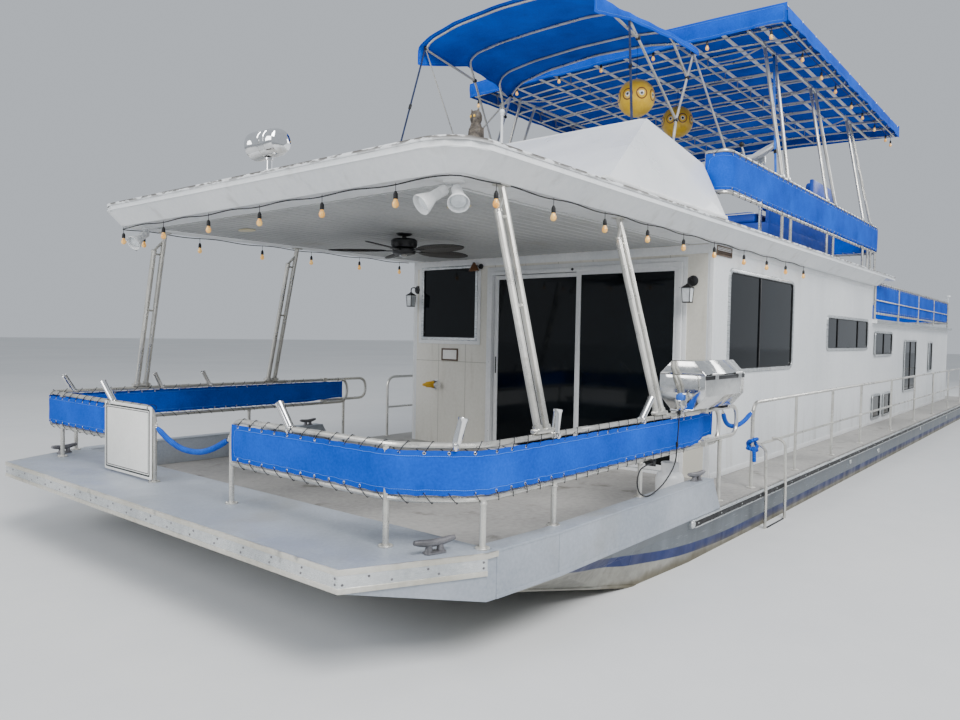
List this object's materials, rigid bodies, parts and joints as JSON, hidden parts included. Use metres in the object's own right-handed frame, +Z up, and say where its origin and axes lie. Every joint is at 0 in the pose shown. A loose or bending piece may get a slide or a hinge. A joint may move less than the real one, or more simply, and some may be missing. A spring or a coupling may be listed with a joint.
{
  "type": "houseboat",
  "caption": "Long aluminium houseboat with a raised bow platform, fishing deck, two-level cabin, flying bridge, blue cloth canopies and a sterndrive.",
  "frame": {"origin": "on the centreline at the waterline, amidships", "axes": "+X to the bow, +Y to port, +Z up"},
  "size_m": [19.39, 4.784, 5.6743],
  "materials": {
    "hull_aluminium": "weathered mill grey with a navy stripe",
    "platform_aluminium": "weathered, riveted trim",
    "tube_aluminium": "satin",
    "stainless": "polished",
    "deck_paint": "non-slip, matte",
    "cabin_paint": "satin white",
    "cream_paint": "satin cream",
    "roof_paint": "white, peeling at the edges",
    "black_metal": "satin black",
    "drive_paint": "satin",
    "blue_canvas": "woven",
    "dark_glass": "tinted",
    "yellow_vinyl": "gloss with rings",
    "board_plastic": "matte white",
    "bronze": "cast"
  },
  "bodies": {
    "boat": {"hull": "hull_aluminium", "deck": "deck_paint", "bow_platform": "platform_aluminium", "rub_rail": "platform_aluminium", "swim_platform": "deck_paint", "cabin_front_wall": "cream_paint", "cabin_port_wall": "cabin_paint", "cabin_starboard_wall": "cabin_paint", "cabin_step_bulkhead": "cabin_paint", "cabin_rear_wall": "cabin_paint", "main_roof": "roof_paint", "aft_roof": "roof_paint", "port_window_fore": "dark_glass", "starboard_window_fore": "dark_glass", "port_window_long": "dark_glass", "starboard_window_long": "dark_glass", "front_window": "dark_glass", "patio_door_frame": "cabin_paint", "roof_strut_port_fore": "tube_aluminium", "roof_strut_starboard_fore": "tube_aluminium", "roof_strut_port_aft": "tube_aluminium", "roof_strut_starboard_aft": "tube_aluminium", "port_bow_rail": "tube_aluminium", "starboard_bow_rail": "tube_aluminium", "port_bow_canvas": "blue_canvas", "starboard_bow_canvas": "blue_canvas", "port_side_rail": "tube_aluminium", "starboard_side_rail": "tube_aluminium", "upper_rail": "tube_aluminium", "upper_canvas": "blue_canvas", "aft_upper_rail": "blue_canvas", "flybridge_fairing": "roof_paint", "helm_seat": "blue_canvas", "lounge_seat": "blue_canvas", "bimini_frame": "tube_aluminium", "bimini_top": "blue_canvas", "canopy_frame": "tube_aluminium", "canopy_top": "blue_canvas", "satellite_dish": "board_plastic", "floodlight_port": "board_plastic", "floodlight_starboard": "board_plastic", "fan_motor": "black_metal", "grill_body": "stainless", "boarding_ladder": "tube_aluminium", "notice_board": "board_plastic", "balloon_fore": "yellow_vinyl", "balloon_aft": "yellow_vinyl", "stern_ladder": "tube_aluminium", "drive_mount": "drive_paint", "bow_gate_rope": "blue_canvas", "side_gate_rope": "blue_canvas", "grill_hose": "black_metal"},
    "patio_panel": {"patio_door_panel": "dark_glass"},
    "stern_door": {"aft_door": "cabin_paint"},
    "grill_cover": {"grill_lid": "stainless"},
    "fan": {"fan_blades": "black_metal"},
    "lamp": {"searchlight": "stainless"},
    "wheel": {"helm_wheel": "black_metal"},
    "drive": {"sterndrive": "drive_paint"},
    "screw": {"propeller": "bronze"}
  },
  "joints": [
    {"name": "patio_slide", "type": "slide", "parent": "boat", "child": "patio_panel", "axis": [0, 1, 0], "range_m": [0, 1]},
    {"name": "aft_door_hinge", "type": "hinge", "parent": "boat", "child": "stern_door", "pos_m": [-7.992, 0.32, 1.06], "axis": [0, 0, -1], "range_deg": [0, 110]},
    {"name": "grill_lid_hinge", "type": "hinge", "parent": "boat", "child": "grill_cover", "pos_m": [6.595, 2.445, 1.351], "axis": [-1, 0, 0], "range_deg": [0, 90]},
    {"name": "fan_spin", "type": "hinge", "parent": "boat", "child": "fan", "pos_m": [7.336, -0.06, 2.285], "axis": [0, 0, 1], "continuous": true},
    {"name": "searchlight_pan", "type": "hinge", "parent": "boat", "child": "lamp", "pos_m": [8.8, 0.13, 2.7], "axis": [0, 0, 1], "range_deg": [-170, 170]},
    {"name": "helm_turn", "type": "hinge", "parent": "boat", "child": "wheel", "pos_m": [5.785, 0, 3.02], "axis": [1, 0, 0], "range_deg": [-450, 450]},
    {"name": "drive_steer", "type": "hinge", "parent": "boat", "child": "drive", "pos_m": [-9.19, 0, -0.07], "axis": [0, 0, 1], "range_deg": [-30, 30]},
    {"name": "propeller_spin", "type": "hinge", "parent": "drive", "child": "screw", "pos_m": [-9.56, 0, -0.56], "axis": [1, 0, 0], "continuous": true}
  ],
  "couplings": [
    {"joint": "drive_steer", "follows": "helm_turn", "ratio": 0.066667}
  ]
}
